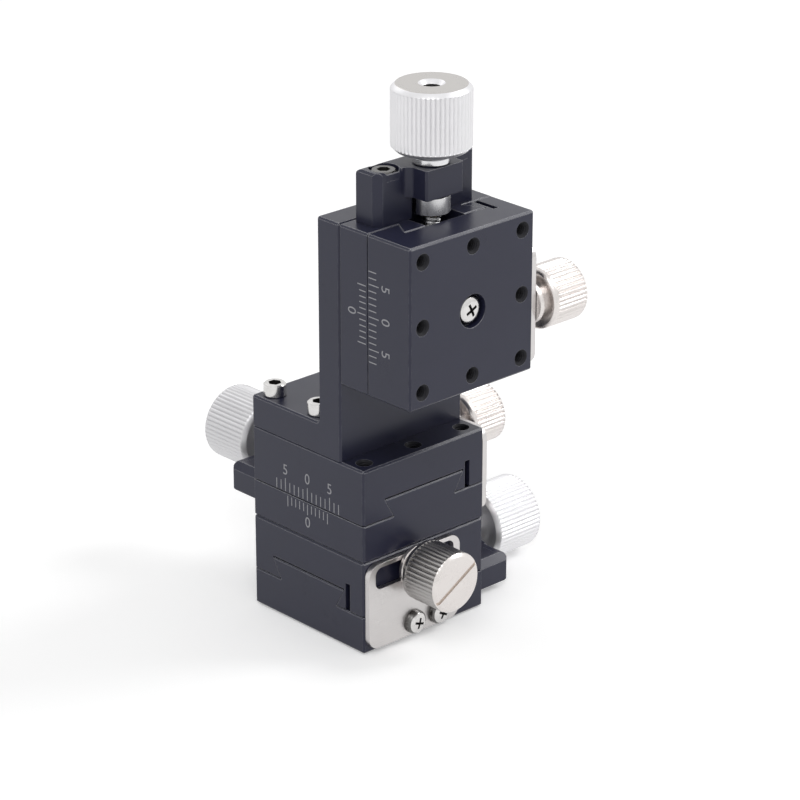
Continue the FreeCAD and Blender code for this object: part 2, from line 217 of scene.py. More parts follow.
def bump(tree, shader, height, distance, strength, normal=None):
    inputs = {"Height": height, "Distance": distance, "Strength": strength}
    if normal:
        inputs["Normal"] = normal
    tree.links.new(add(tree, "ShaderNodeBump", inputs).outputs[0], shader.inputs["Normal"])


def use_group(tree, group, **values):
    made = tree.nodes.new("ShaderNodeGroup")
    made.node_tree = group
    for name, value in values.items():
        socket = made.inputs[name.replace("_", " ")]
        if isinstance(value, bpy.types.NodeSocket):
            tree.links.new(value, socket)
        else:
            socket.default_value = value
    return made.outputs


def fine_grain(tree, vector, size, mottle_size, smooth, rough):
    return use_group(tree, satin_grain, Vector=vector, Grain_Size=size, Mottle_Size=mottle_size,
                     Smoothest=smooth, Roughest=rough)


def set_surface(tree, shader, colour, roughness, metallic=0.0, specular=0.5):
    """Colour and roughness from nodes, the other two as plain values."""
    tree.links.new(colour, shader.inputs["Base Color"])
    tree.links.new(roughness, shader.inputs["Roughness"])
    shader.inputs["Metallic"].default_value = metallic
    shader.inputs["Specular IOR Level"].default_value = specular


# Black anodised aluminium: a mottled blue-black dye; up-facing edges are lightened as a painted highlight,
# and all edges a little by real wear.
black_anodised, tree, shader, vector = new_material("black anodised aluminium")
grain = fine_grain(tree, vector, 0.00009, 0.011, 0.27, 0.37)
wear = use_group(tree, edge_wear_and_highlight, Vector=vector, Edge_Width=0.0002, Patch_Size=0.0016)
dye = blend_colours(tree, grain["Mottle"], (0.0130, 0.0140, 0.0330, 1), (0.0210, 0.0225, 0.0450, 1))
# Painted highlight on up-facing edges, plus a little real wear on all edges.
wear_and_painted_highlight = sum_of_products(tree, wear["Upper Mask"], 0.85, wear["Mask"], 0.2, clamp=True)
colour = blend_colours(tree, wear_and_painted_highlight, dye, (0.43, 0.43, 0.46, 1))
set_surface(tree, shader, colour, grain["Roughness"], specular=0.38)
bump(tree, shader, grain["Height"], 0.000012, 0.25, wear["Rounded Normal"])


def plain_mesh(source):
    """The finished mesh of a curve, text or modified object, which is then taken away."""
    scene.collection.objects.link(source)
    graph = bpy.context.evaluated_depsgraph_get()
    mesh = bpy.data.meshes.new_from_object(source.evaluated_get(graph), depsgraph=graph)
    bpy.data.objects.remove(source)
    return mesh


def join(meshes, name):
    """One mesh of several, with its doubles merged and its faces outwards."""
    whole = bmesh.new()
    for mesh in meshes:
        whole.from_mesh(mesh)
    bmesh.ops.remove_doubles(whole, verts=whole.verts, dist=1e-5)
    bmesh.ops.recalc_face_normals(whole, faces=whole.faces)
    mesh = bpy.data.meshes.new(name)
    whole.to_mesh(mesh)
    whole.free()
    return mesh


def cut(mesh, cutter, way="DIFFERENCE"):
    """The mesh with the cutter's shape taken out of it, or built onto it."""
    tool = bpy.data.objects.new("cutter", cutter)
    scene.collection.objects.link(tool)
    body = bpy.data.objects.new("blank", mesh)
    modifier = body.modifiers.new("cut", "BOOLEAN")
    modifier.operation = way
    modifier.solver = "EXACT"
    modifier.object = tool
    result = plain_mesh(body)
    bpy.data.objects.remove(tool)
    return result


def seat(piece, place, body, slot, *stands_for):
    """Puts a piece's mesh in its place and hands the piece to the body that carries it."""
    piece.data.transform(place)
    piece.data.update()
    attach(piece, body)
    if stands_for:
        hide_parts(*stands_for)
    return piece


def new_piece(name, mesh, *materials):
    """An object of a mesh, in the scene, with its materials in order."""
    piece = bpy.data.objects.new(name, mesh)
    scene.collection.objects.link(piece)
    for material in materials:
        mesh.materials.append(material)
    return piece


def dressed_node(name, node, stage, cutters, *materials, fillers=()):
    """A copy of a CAD node with its edges or mouths cut finer, in the stage's own millimetres."""
    whole = bmesh.new()
    whole.from_mesh(frame["nodes"][node].data)
    bmesh.ops.remove_doubles(whole, verts=whole.verts, dist=1e-7)
    mesh = bpy.data.meshes.new(name)
    whole.to_mesh(mesh)
    whole.free()
    if "custom_normal" in mesh.attributes:
        mesh.attributes.remove(mesh.attributes["custom_normal"])
    mesh.transform(frames[stage].inverted())
    if fillers:
        mesh = cut(mesh, join(fillers, "fillers"), "UNION")
    mesh = cut(mesh, join(cutters, "cutters"))
    for face in mesh.polygons:
        face.use_smooth = max(map(abs, face.normal)) < 0.999
    mesh.set_sharp_from_angle(angle=math.radians(25))
    mesh.materials.clear()
    return new_piece(name, mesh, *materials)


def prism(outline, low, high, low_size=1.0):
    """Closed prism between two heights; its outline may shrink towards the low end."""
    count = len(outline)
    corners = [(x * low_size, y * low_size, low) for x, y in outline] + [(x, y, high) for x, y in outline]
    faces = [list(range(count))[::-1], list(range(count, 2 * count))]
    faces += [(i, (i + 1) % count, count + (i + 1) % count, count + i) for i in range(count)]
    mesh = bpy.data.meshes.new("prism")
    mesh.from_pydata(corners, [], faces)
    return mesh


def bar_across(outline, low, high):
    """Closed bar across a stage, between two places along y, from its (x, z) outline."""
    bar = prism(outline, low, high)
    bar.transform(Matrix(((1, 0, 0, 0), (0, 0, 1, 0), (0, 1, 0, 0), (0, 0, 0, 1))))
    return bar


def corner_bar(end, y, z):
    """Wedge that breaks the edge along y at a height on one end of a stage."""
    over, under = LIP * 0.3, LIP * 1.3
    outline = [(end + over, z - under), (end + over, z + over), (end - under, z + over)]
    if end < 0:
        outline = [(2 * end - x, height) for x, height in outline]
    return bar_across(outline, *y)


LIP = 0.16
NECK_SIDE = 6.25
DOVETAIL_SIDE = 8.35
BASE_HEIGHT = 6.0
for stage in STAGES:
    low, high = stage_box(stage, stage + "_base")
    wedges = []
    for end in (low.x, high.x):
        wedges.append(corner_bar(end, (-DOVETAIL_SIDE, DOVETAIL_SIDE), high.z))
        wedges.append(corner_bar(end, (low.y - 0.1, -NECK_SIDE - LIP), BASE_HEIGHT))
        wedges.append(corner_bar(end, (NECK_SIDE + LIP, high.y + 0.1), BASE_HEIGHT))
    broken = dressed_node(stage + "_base_broken_edges", stage + "_base", stage, wedges, black_anodised)
    seat(broken, frames[stage], carrier[stage], "black_anodised", stage + "_base")

# Tables: the upper half of each slide, cut as one with the gib that is pressed on the dovetail.
# The same black anodised aluminium; the walls and threads inside the eight tapped M2 holes of the
# mounting grid are painted a darker black, as painted shade, and their mouths are chamfered. The
# middle screw lies in a counterbore.
M2_PITCH = 0.4
GRID = 10.0
TAPPED_DEPTH = 3.5
TABLES = {"x": "lower_table", "y": "cross_table", "z": "upright_table"}
MOUTH_CHAMFER = 0.35
MOUTH_FOOT, MOUTH_RIM = 0.93, 1.38
MIDDLE_SEAT = (2.6, 1.45)


def new_tree(name, inputs):
    """A Geometry Nodes tree whose end is Realize Instances and Set Material."""
    tree, given, result = new_group(name, "GeometryNodeTree",
                                    [("Geometry", "Geometry")] + inputs + [("Material", "Material")],
                                    [("Geometry", "Geometry")])
    tree.is_modifier = True
    realized = tree.nodes.new("GeometryNodeRealizeInstances")
    painted = add(tree, "GeometryNodeSetMaterial",
                  {"Geometry": realized.outputs[0], "Material": given["Material"]})
    tree.links.new(painted.outputs[0], result["Geometry"])
    return tree, given, realized.inputs[0]


helix, given, made = new_tree("helical ridge", [
    ("Pitch", "Float", M2_PITCH), ("Length", "Float", TAPPED_DEPTH), ("Radius", "Float", 1.0),
    ("Ridge Depth", "Float", 0.15), ("Steps per Turn", "Int", 24)])
turns = math_node(helix, "DIVIDE", given["Length"], given["Pitch"])
path = add(helix, "GeometryNodeCurveSpiral",
           {"Resolution": given["Steps per Turn"], "Rotations": turns, "Start Radius": given["Radius"],
            "End Radius": given["Radius"], "Height": given["Length"]})
upright = add(helix, "GeometryNodeSetCurveNormal", {"Curve": path.outputs[0]}, mode="Z_UP")
flanks = add(helix, "GeometryNodeCurvePrimitiveCircle", {"Resolution": 4, "Radius": given["Ridge Depth"]})
swept = add(helix, "GeometryNodeCurveToMesh",
            {"Curve": upright.outputs[0], "Profile Curve": flanks.outputs[0], "Fill Caps": True})
flat = add(helix, "GeometryNodeSetShadeSmooth", {"Geometry": swept.outputs[0], "Shade Smooth": False})
placed = add(helix, "GeometryNodeInstanceOnPoints",
             {"Points": given["Geometry"], "Instance": flat.outputs[0]})
helix.links.new(placed.outputs[0], made)


def point_mesh(points):
    mesh = bpy.data.meshes.new("points")
    mesh.from_pydata([tuple(point) for point in points], [], [])
    return mesh


def grow(name, mesh, tree, sizes):
    """Runs a tree on a mesh with its named inputs and keeps the plain result."""
    piece = new_piece(name, mesh)
    modifier = piece.modifiers.new(tree.name, "NODES")
    modifier.node_group = tree
    for item in tree.interface.items_tree:
        if item.in_out == "INPUT" and item.name in sizes:
            modifier[item.identifier] = sizes[item.name]
    graph = bpy.context.evaluated_depsgraph_get()
    plain = bpy.data.meshes.new_from_object(piece.evaluated_get(graph), depsgraph=graph)
    piece.modifiers.remove(modifier)
    piece.data = plain
    return piece


def aimed(stage, origin, toward, sideways):
    """Place of a piece drawn along z, in a stage's own millimetres: its z goes toward, its x sideways."""
    z, x = Vector(toward), Vector(sideways)
    turn = Matrix((x, z.cross(x), z)).transposed().to_4x4()
    return frames[stage] @ Matrix.Translation(origin) @ turn


tapped_grid = [(GRID * column, GRID * row, 0) for column in (-1, 0, 1) for row in (-1, 0, 1) if column or row]


def grained(name, tones, sizes, roughness, relief, metallic=0.0, specular=0.5, edge=0.0):
    """A two-toned finish: sizes of grain and mottle, depth and strength of the relief."""
    material, tree, shader, vector = new_material(name)
    grain = fine_grain(tree, vector, *sizes, *roughness)
    dark, light = [tone + (1,) for tone in tones]
    colour = blend_colours(tree, grain["Mottle"], dark, light)
    set_surface(tree, shader, colour, grain["Roughness"], metallic, specular)
    rounded = use_group(tree, edge_wear_and_highlight, Edge_Width=edge)["Rounded Normal"] if edge else None
    bump(tree, shader, grain["Height"], *relief, rounded)
    return material


# Painted shade: the tapped bores' walls and threads take a darker black than the face.
bore_painted_shade = grained("painted shade of the tapped bores", ((0.006, 0.006, 0.008), (0.016, 0.016, 0.021)),
                     (0.00006, 0.0008), (0.55, 0.75), (0.00001, 0.4), specular=0.3)


def lathe(profile, segments, name="turned piece"):
    """Closed turned solid about z from (height, radius) points: from axis to axis, or a ring."""
    turns = np.linspace(0, 2 * math.pi, segments, endpoint=False)
    corners, rings = [], []
    for height, radius in profile:
        if radius == 0:
            rings.append([len(corners)] * segments)
            corners.append((0, 0, height))
        else:
            rings.append(list(range(len(corners), len(corners) + segments)))
            corners.extend((radius * math.cos(t), radius * math.sin(t), height) for t in turns)
    pairs = list(zip(rings, rings[1:]))
    if profile[0][1] and profile[-1][1]:
        pairs.append((rings[-1], rings[0]))
    faces = []
    for lower, upper in pairs:
        for step in range(segments):
            after = (step + 1) % segments
            quad = (lower[step], lower[after], upper[after], upper[step])
            faces.append(list(dict.fromkeys(quad)))
    solid = bmesh.new()
    mesh = bpy.data.meshes.new(name)
    mesh.from_pydata(corners, [], faces)
    solid.from_mesh(mesh)
    bmesh.ops.recalc_face_normals(solid, faces=solid.faces)
    solid.to_mesh(mesh)
    solid.free()
    return mesh


def mouth_cutters(top):
    """Cones for the chamfered mouths of the holes and the wider seat of the middle screw."""
    seat_radius, seat_depth = MIDDLE_SEAT
    cutters = [lathe([(top - seat_depth, 0), (top - seat_depth, seat_radius), (top + 0.1, seat_radius),
                      (top + 0.1, 0)], 48)]
    for x, y, z in tapped_grid:
        cone = lathe([(top - MOUTH_CHAMFER, 0), (top - MOUTH_CHAMFER, MOUTH_FOOT), (top + 0.1, MOUTH_RIM),
                      (top + 0.1, 0)], 32)
        cone.transform(Matrix.Translation((x, y, 0)))
        cutters.append(cone)
    return cutters


def in_a_bore(spot, top):
    """Whether a face of a table, by its middle, is inside one of the tapped holes."""
    return any(math.hypot(spot.x - x, spot.y - y) < MOUTH_RIM - 0.05
               and top - TAPPED_DEPTH - 0.1 < spot.z < top - 0.01 for x, y, z in tapped_grid)


for stage in STAGES:
    top = stage_box(stage, TABLES[stage])[1].z
    table = dressed_node(TABLES[stage] + "_chamfered", TABLES[stage], stage, mouth_cutters(top),
                         black_anodised, bore_painted_shade)
    for face in table.data.polygons:
        face.material_index = int(in_a_bore(face.center, top))
    seat(table, frames[stage], carriage[stage], "black_anodised", TABLES[stage])
    threads = grow(TABLES[stage] + "_threads", point_mesh(tapped_grid), helix,
                   {"Length": TAPPED_DEPTH - 0.4, "Radius": 1.02, "Ridge Depth": 0.17,
                    "Material": bore_painted_shade})
    seat(threads, aimed(stage, (0, 0, top - TAPPED_DEPTH + 0.05), (0, 0, 1), (1, 0, 0)),
         carriage[stage], "black_anodised")

# Angle bracket: an L milled from one block; its foot is screwed on the Y table and its upright
# carries the Z stage. The same black finish as the stages.


def finish_node(node, material):
    """Gives a CAD node its finish."""
    slots = frame["nodes"][node].data.materials
    slots.clear()
    slots.append(material)


finish_node("z_angle_bracket", black_anodised)

# Scales: 1 mm lines with 5, 0 and 5 on the table's edge, and a vernier of ten 0.9 mm steps below
# it on the base. Both are engraved through the black and filled with a pale grey paint.
SCALE_STEP = 1.0
VERNIER_STEP = 0.9
LINE_WIDTH = 0.16
FILL_PROUD = 0.012
FILL_SUNK = 0.05
NUMERAL_HEIGHT = 1.75


def combined(tree, x=0.0, y=0.0, z=0.0):
    return add(tree, "ShaderNodeCombineXYZ", {"X": x, "Y": y, "Z": z}).outputs[0]


ticks, given, made = new_tree("row of lines", [
    ("Count", "Int", 15), ("Pitch", "Float", SCALE_STEP), ("Line Width", "Float", LINE_WIDTH),
    ("Short Line", "Float", 1.6), ("Long Line", "Float", 2.1), ("Long Every", "Int", 5),
    ("First Long", "Int", 2), ("Thickness", "Float", FILL_PROUD + FILL_SUNK)])
reach = math_node(ticks, "MULTIPLY", math_node(ticks, "SUBTRACT", given["Count"], 1.0), given["Pitch"])
start = combined(ticks, math_node(ticks, "MULTIPLY", reach, -0.5))
step = combined(ticks, given["Pitch"])
row = add(ticks, "GeometryNodeMeshLine", {"Count": given["Count"], "Start Location": start, "Offset": step})
index = add(ticks, "GeometryNodeInputIndex").outputs[0]
place_in_row = math_node(ticks, "SUBTRACT", index, given["First Long"])
remainder = math_node(ticks, "FLOORED_MODULO", place_in_row, given["Long Every"])
is_long = math_node(ticks, "COMPARE", remainder, 0.0, 0.5)
extra = math_node(ticks, "SUBTRACT", given["Long Line"], given["Short Line"])
line_length = math_node(ticks, "MULTIPLY_ADD", is_long, extra, given["Short Line"])
centred = combined(ticks, y=math_node(ticks, "MULTIPLY", line_length, 0.5))
shifted = add(ticks, "GeometryNodeSetPosition", {"Geometry": row.outputs[0], "Offset": centred})
line_size = combined(ticks, given["Line Width"], line_length, given["Thickness"])
line = add(ticks, "GeometryNodeMeshCube", {"Size": (1.0, 1.0, 1.0)})
lines = add(ticks, "GeometryNodeInstanceOnPoints",
            {"Points": shifted.outputs[0], "Instance": line.outputs[0], "Scale": line_size})
ticks.links.new(lines.outputs[0], made)

scale_paint = grained("pale grey scale paint", ((0.26, 0.26, 0.28), (0.38, 0.38, 0.40)), (0.00006, 0.0007),
                      (0.5, 0.7), (0.00001, 0.4))


def numeral(text, middle):
    """A numeral as a thin closed solid, centred on a point of the engraved face."""
    letter = bpy.data.curves.new("numeral", "FONT")
    letter.body = text
    letter.size = NUMERAL_HEIGHT / 0.72
    letter.align_x = "CENTER"
    letter.align_y = "CENTER"
    letter.offset = -0.01
    letter.resolution_u = 6
    letter.extrude = (FILL_PROUD + FILL_SUNK) / 2
    mesh = plain_mesh(bpy.data.objects.new("numeral", letter))
    mesh.transform(Matrix.Translation((middle[0], middle[1], 0)))
    return mesh


def engraved_row(name, sizes, numerals, first_line, mirrored):
    """Lines that start at a height on the engraved face, with their numerals."""
    piece = grow(name, point_mesh([(0, 0, 0)]), ticks, dict(sizes, Material=scale_paint))
    turn = Matrix.Diagonal((1, -1, 1, 1)) if mirrored else Matrix.Identity(4)
    piece.data.transform(Matrix.Translation((0, first_line, 0)) @ turn)
    piece.data = join([piece.data] + [numeral(*each) for each in numerals], name)
    piece.data.materials.append(scale_paint)
    return piece


for stage in STAGES:
    parting = stage_box(stage, TABLES[stage])[0].z
    side = stage_box(stage, TABLES[stage])[1].y
    face = aimed(stage, (0, side + (FILL_PROUD - FILL_SUNK) / 2, 0), (0, 1, 0), (-1, 0, 0))
    above = engraved_row(TABLES[stage] + "_scale", {"Count": 15, "Pitch": SCALE_STEP, "First Long": 2},
                         [("5", (-5, 9.8)), ("0", (0, 9.8)), ("5", (5, 9.8))], parting + 0.15, False)
    seat(above, face, carriage[stage], None)
    below = engraved_row(stage + "_base_vernier",
                         {"Count": 11, "Pitch": VERNIER_STEP, "First Long": 0, "Short Line": 1.35,
                          "Long Line": 1.75}, [("0", (0, 2.65))], parting - 0.5, True)
    seat(below, face, carrier[stage], None)

# Gib set screws: M2 grub screws of blackened steel with a hexagon socket. They go through the
# table's side wall and take up the play of the dovetail.
# Also used as painted shade in the knobs' bores, on the feed screws' stubs and in the screws' sockets.
black_steel_and_painted_shade = grained("blackened steel", ((0.020, 0.020, 0.022), (0.050, 0.047, 0.044)), (0.00005, 0.0012),
                      (0.32, 0.5), (0.000008, 0.3), metallic=0.6)
for stage in STAGES:
    finish_node(stage + "_gib_screws", black_steel_and_painted_shade)

# Drive brackets: the bearing of the feed screw, screwed to the base's end. Two low ears and a boss
# that passes under the table, milled and anodised black like the stages. The ears' ends are rounded,
# and a thin wall closes the seats of the screws at the front.
HEAD_RADIUS = 1.9
EAR_TOP_ROUND = 0.6
EAR_BOTTOM_ROUND = 0.9
BOSS_FILLET = 1.2
HEAD_ROOM = 0.03
WALL_LENGTH = 1.6
WALL_SIDE = 1.25


def rounding_bar(end, y, z, radius, up):
    """Bar that leaves a round along y on the end of a bracket, at its top (up 1) or bottom (up -1)."""
    outline = [(end - radius, z + up * 0.1), (end + 0.1, z + up * 0.1), (end + 0.1, z - up * radius)]
    for step in range(7):
        angle = math.radians(15 * step)
        drop = radius - radius * math.sin(angle)
        outline.append((end - radius + radius * math.cos(angle), z - up * drop))
    return bar_across(outline, *y)


for stage in STAGES:
    node = stage + "_drive_bracket"
    low, high = stage_box(stage, node)
    screws_low, screws_high = stage_box(stage, stage + "_bracket_screws")
    screw_side = screws_high.y - HEAD_RADIUS
    corners = [frames[stage].inverted() @ each.co for each in frame["nodes"][node].data.vertices]
    ear_top = max(each.z for each in corners if abs(each.y) > screw_side)
    boss_side = max(abs(each.y) for each in corners if each.z > ear_top + 0.5)
    wall_low = (screws_low.z + screws_high.z) / 2 + HEAD_RADIUS + HEAD_ROOM
    wall = [(high.x - WALL_LENGTH, wall_low), (high.x, wall_low), (high.x, ear_top),
            (high.x - WALL_LENGTH, ear_top)]
    walls = []
    rounds = [rounding_bar(high.x, (low.y - 0.1, high.y + 0.1), low.z, EAR_BOTTOM_ROUND, -1)]
    for side in (-1, 1):
        walls.append(bar_across(wall, side * screw_side - WALL_SIDE, side * screw_side + WALL_SIDE))
        ends = sorted((side * (boss_side + BOSS_FILLET), side * (high.y + 0.1)))
        rounds.append(rounding_bar(high.x, ends, ear_top, EAR_TOP_ROUND, 1))
    bracket = dressed_node(node + "_rounded", node, stage, rounds, black_anodised, fillers=walls)
    seat(bracket, frames[stage], carrier[stage], "black_anodised", node)

# Feed screws: an M3 thread, a thrust collar, a journal and the stub for the knob, all turned from
# one steel bar and left bright; the end has a hexagon socket for a driver. The stub inside the knob
# is painted black, as painted shade.
M3_PITCH = 0.5
SPINDLE_SEGMENTS = 64
COLLAR_START = 13.05
COLLAR_LENGTH = 2.9
CORE_RADIUS = 1.25
JOURNAL_RADIUS = 2.0
STUB_RADIUS = 1.45


def hexagon(width):
    radius = width / math.sqrt(3)
    angles = [math.radians(60 * corner) for corner in range(6)]
    return [(radius * math.cos(angle), radius * math.sin(angle)) for angle in angles]


def shade(mesh, degrees=32):
    """Smooth faces with crisp edges."""
    mesh.polygons.foreach_set("use_smooth", [True] * len(mesh.polygons))
    mesh.set_sharp_from_angle(angle=math.radians(degrees))
    return mesh


turned_rings, given, result = new_group(
    "turned rings", "ShaderNodeTree",
    [("Vector", "Vector"), ("Ring Pitch", "Float", 0.00008)], [("Height", "Float"), ("Shade", "Float")])
split = add(turned_rings, "ShaderNodeSeparateXYZ", {"Vector": given["Vector"]})
x, y, z = split.outputs
squares = sum_of_products(turned_rings, x, x, y, y)
across = math_node(turned_rings, "ADD", math_node(turned_rings, "SQRT", squares), z)
cuts = add(turned_rings, "ShaderNodeTexNoise",
           {"W": math_node(turned_rings, "DIVIDE", across, given["Ring Pitch"]), "Scale": 1.0, "Detail": 3.0},
           noise_dimensions="1D")
turned_rings.links.new(cuts.outputs[0], result["Height"])
turned_rings.links.new(cuts.outputs[0], result["Shade"])


def turned_metal(name, place, dark, light, smooth, rough, ring_pitch, ring_depth, metallic=1.0):
    """A turned metal finish whose rings lie round the piece's own z axis."""
    material, tree, shader, vector = new_material(name, place)
    rings = use_group(tree, turned_rings, Vector=vector, Ring_Pitch=ring_pitch)
    grain = fine_grain(tree, vector, 0.00005, 0.003, smooth, rough)
    wear = use_group(tree, edge_wear_and_highlight, Vector=vector, Edge_Width=0.00006, Patch_Size=0.001)
    tone = sum_of_products(tree, rings["Shade"], 0.5, grain["Mottle"], 0.5)
    set_surface(tree, shader, blend_colours(tree, tone, dark, light), grain["Roughness"], metallic)
    bump(tree, shader, rings["Height"], ring_depth, 0.3, wear["Rounded Normal"])
    return material


for stage in STAGES:
    low, high = stage_box(stage, stage + "_feed_screw")
    collar = (high.z - low.z) / 2
    axis = (high.z + low.z) / 2
    journal_start = COLLAR_START + COLLAR_LENGTH
    stub_start = stage_box(stage, stage + "_drive_knob")[0].x
    spindle = [(low.x, 0), (low.x, 0.9), (low.x + 0.35, CORE_RADIUS), (COLLAR_START, CORE_RADIUS),
               (COLLAR_START, collar - 0.2), (COLLAR_START + 0.2, collar), (journal_start - 0.2, collar),
               (journal_start, collar - 0.2), (journal_start, JOURNAL_RADIUS), (stub_start, JOURNAL_RADIUS),
               (stub_start, STUB_RADIUS), (high.x - 0.2, STUB_RADIUS), (high.x, STUB_RADIUS - 0.2),
               (high.x, 0)]
    core = cut(lathe(spindle, SPINDLE_SEGMENTS), prism(hexagon(1.5), high.x - 1.5, high.x + 1))
    place = aimed(stage, (0, 0, axis), (1, 0, 0), (0, 1, 0))
    bright = turned_metal(stage + " feed screw steel", place, (0.50, 0.50, 0.51, 1), (0.72, 0.72, 0.73, 1),
                          0.18, 0.3, 0.00009, 0.000006)
    ridge = grow(stage + "_feed_spindle", point_mesh([(0, 0, low.x + 0.3)]), helix,
                 {"Pitch": M3_PITCH, "Length": COLLAR_START - low.x - 0.6, "Radius": 1.24,
                  "Ridge Depth": 0.24, "Material": bright})
    ridge.data = shade(join([shade(core), ridge.data], ridge.name))
    ridge.data.materials.append(bright)
    ridge.data.materials.append(black_steel_and_painted_shade)
    # Painted shade: the stub inside the knob's bore takes the black steel.
    for face in ridge.data.polygons:
        if face.center.z > stub_start + 0.1:
            face.material_index = 1
    seat(ridge, place, stage + "_spindle", "ground_steel", stage + "_feed_screw")

# Nuts: a brass block under each table, in the base's channel, tapped for the feed screw.
# Sawn and milled, left bare.
brass = grained("bare brass", ((0.60, 0.40, 0.15), (0.80, 0.60, 0.28)), (0.00012, 0.002), (0.25, 0.42),
                (0.00001, 0.3), metallic=1.0)
for stage in STAGES:
    finish_node(stage + "_nut", brass)

# Thrust washers: a ring of bright steel on the journal between the bracket and the knob.
# Turned with broken edges, free to turn with the spindle.


def washer(name, outer, inner, edge, thick, metal):
    """A turned ring with broken outer edges that lies on z 0."""
    ring = [(0, inner), (0, outer - edge), (edge, outer), (thick - edge, outer), (thick, outer - edge),
            (thick, inner)]
    return new_piece(name, shade(lathe(ring, SPINDLE_SEGMENTS)), metal)


for stage in STAGES:
    low, high = stage_box(stage, stage + "_thrust_washer")
    place = aimed(stage, (low.x, 0, (low.z + high.z) / 2), (1, 0, 0), (0, 1, 0))
    steel = turned_metal(stage + " thrust washer steel", place, (0.62, 0.62, 0.63, 1), (0.78, 0.78, 0.79, 1),
                         0.15, 0.28, 0.00008, 0.000004)
    ring = washer(stage + "_thrust_ring", (high.y - low.y) / 2, 2.05, 0.12, high.x - low.x, steel)
    seat(ring, place, stage + "_spindle", "ground_steel", stage + "_thrust_washer")

# Drive knobs: turned aluminium, straight-knurled on the rim and clear anodised to a frosty white; the X
# knob is painted lighter and the Y knob darker, as painted light and shade. The end is faced, chamfered and
# countersunk, so that a driver reaches the feed screw's socket; the faced end is painted darker than the
# rim and the bore's wall black, both as painted shade.
DRIVE_RIBS = 52
DRIVE_CHAMFER = 0.7
# Painted light and shade: a brightness factor for each knob's colour.
KNOB_PAINTED_LIGHT = {"x": 1.05, "y": 0.84, "z": 1.0}
STEPS_PER_RIB = 8
RIB_DEPTH = 0.23

knurl, given, made = new_tree("straight knurl", [
    ("Ribs", "Int", DRIVE_RIBS), ("Depth", "Float", RIB_DEPTH), ("Rim Radius", "Float", 6.0),
    ("Crest Width", "Float", 0.3), ("From", "Float", 0.0), ("To", "Float", 10.0)])
position = add(knurl, "GeometryNodeInputPosition")
parts = add(knurl, "ShaderNodeSeparateXYZ", {"Vector": position.outputs[0]})
flattened = combined(knurl, parts.outputs[0], parts.outputs[1])
radius = add(knurl, "ShaderNodeVectorMath", {0: flattened}, operation="LENGTH").outputs["Value"]
angle = math_node(knurl, "ARCTAN2", parts.outputs[1], parts.outputs[0])
phase = math_node(knurl, "MULTIPLY", math_node(knurl, "DIVIDE", angle, 2 * math.pi), given["Ribs"])
in_rib = math_node(knurl, "MULTIPLY", math_node(knurl, "PINGPONG", phase, 0.5), 2.0)
flank = remap(knurl, in_rib, given["Crest Width"], 1.0)
rounded_flank = math_node(knurl, "POWER", flank, 1.3)
groove = math_node(knurl, "SUBTRACT", given["Rim Radius"],
                   math_node(knurl, "MULTIPLY", rounded_flank, given["Depth"]))
kept = math_node(knurl, "MINIMUM", radius, groove)
after_start = math_node(knurl, "GREATER_THAN", parts.outputs[2], given["From"])
before_end = math_node(knurl, "LESS_THAN", parts.outputs[2], given["To"])
in_range = math_node(knurl, "MULTIPLY", after_start, before_end)
change = math_node(knurl, "MULTIPLY", in_range, math_node(knurl, "SUBTRACT", kept, radius))
unit = add(knurl, "ShaderNodeVectorMath", {0: flattened}, operation="NORMALIZE")
moved = add(knurl, "ShaderNodeVectorMath", {0: unit.outputs[0], "Scale": change}, operation="SCALE")
knurled = add(knurl, "GeometryNodeSetPosition", {"Geometry": given["Geometry"], "Offset": moved.outputs[0]})
knurl.links.new(knurled.outputs[0], made)


def chamfer_rings(end, inward, rim, size, root):
    """Points of a rim's chamfer from its small end to the rim, with one where the ribs' roots begin."""
    rooted = root - (rim - size)
    return [(end, rim - size - 0.06), (end + inward * 0.05, rim - size + 0.02),
            (end + inward * rooted, root), (end + inward * (size - 0.05), rim - 0.05),
            (end + inward * (size + 0.08), rim)]


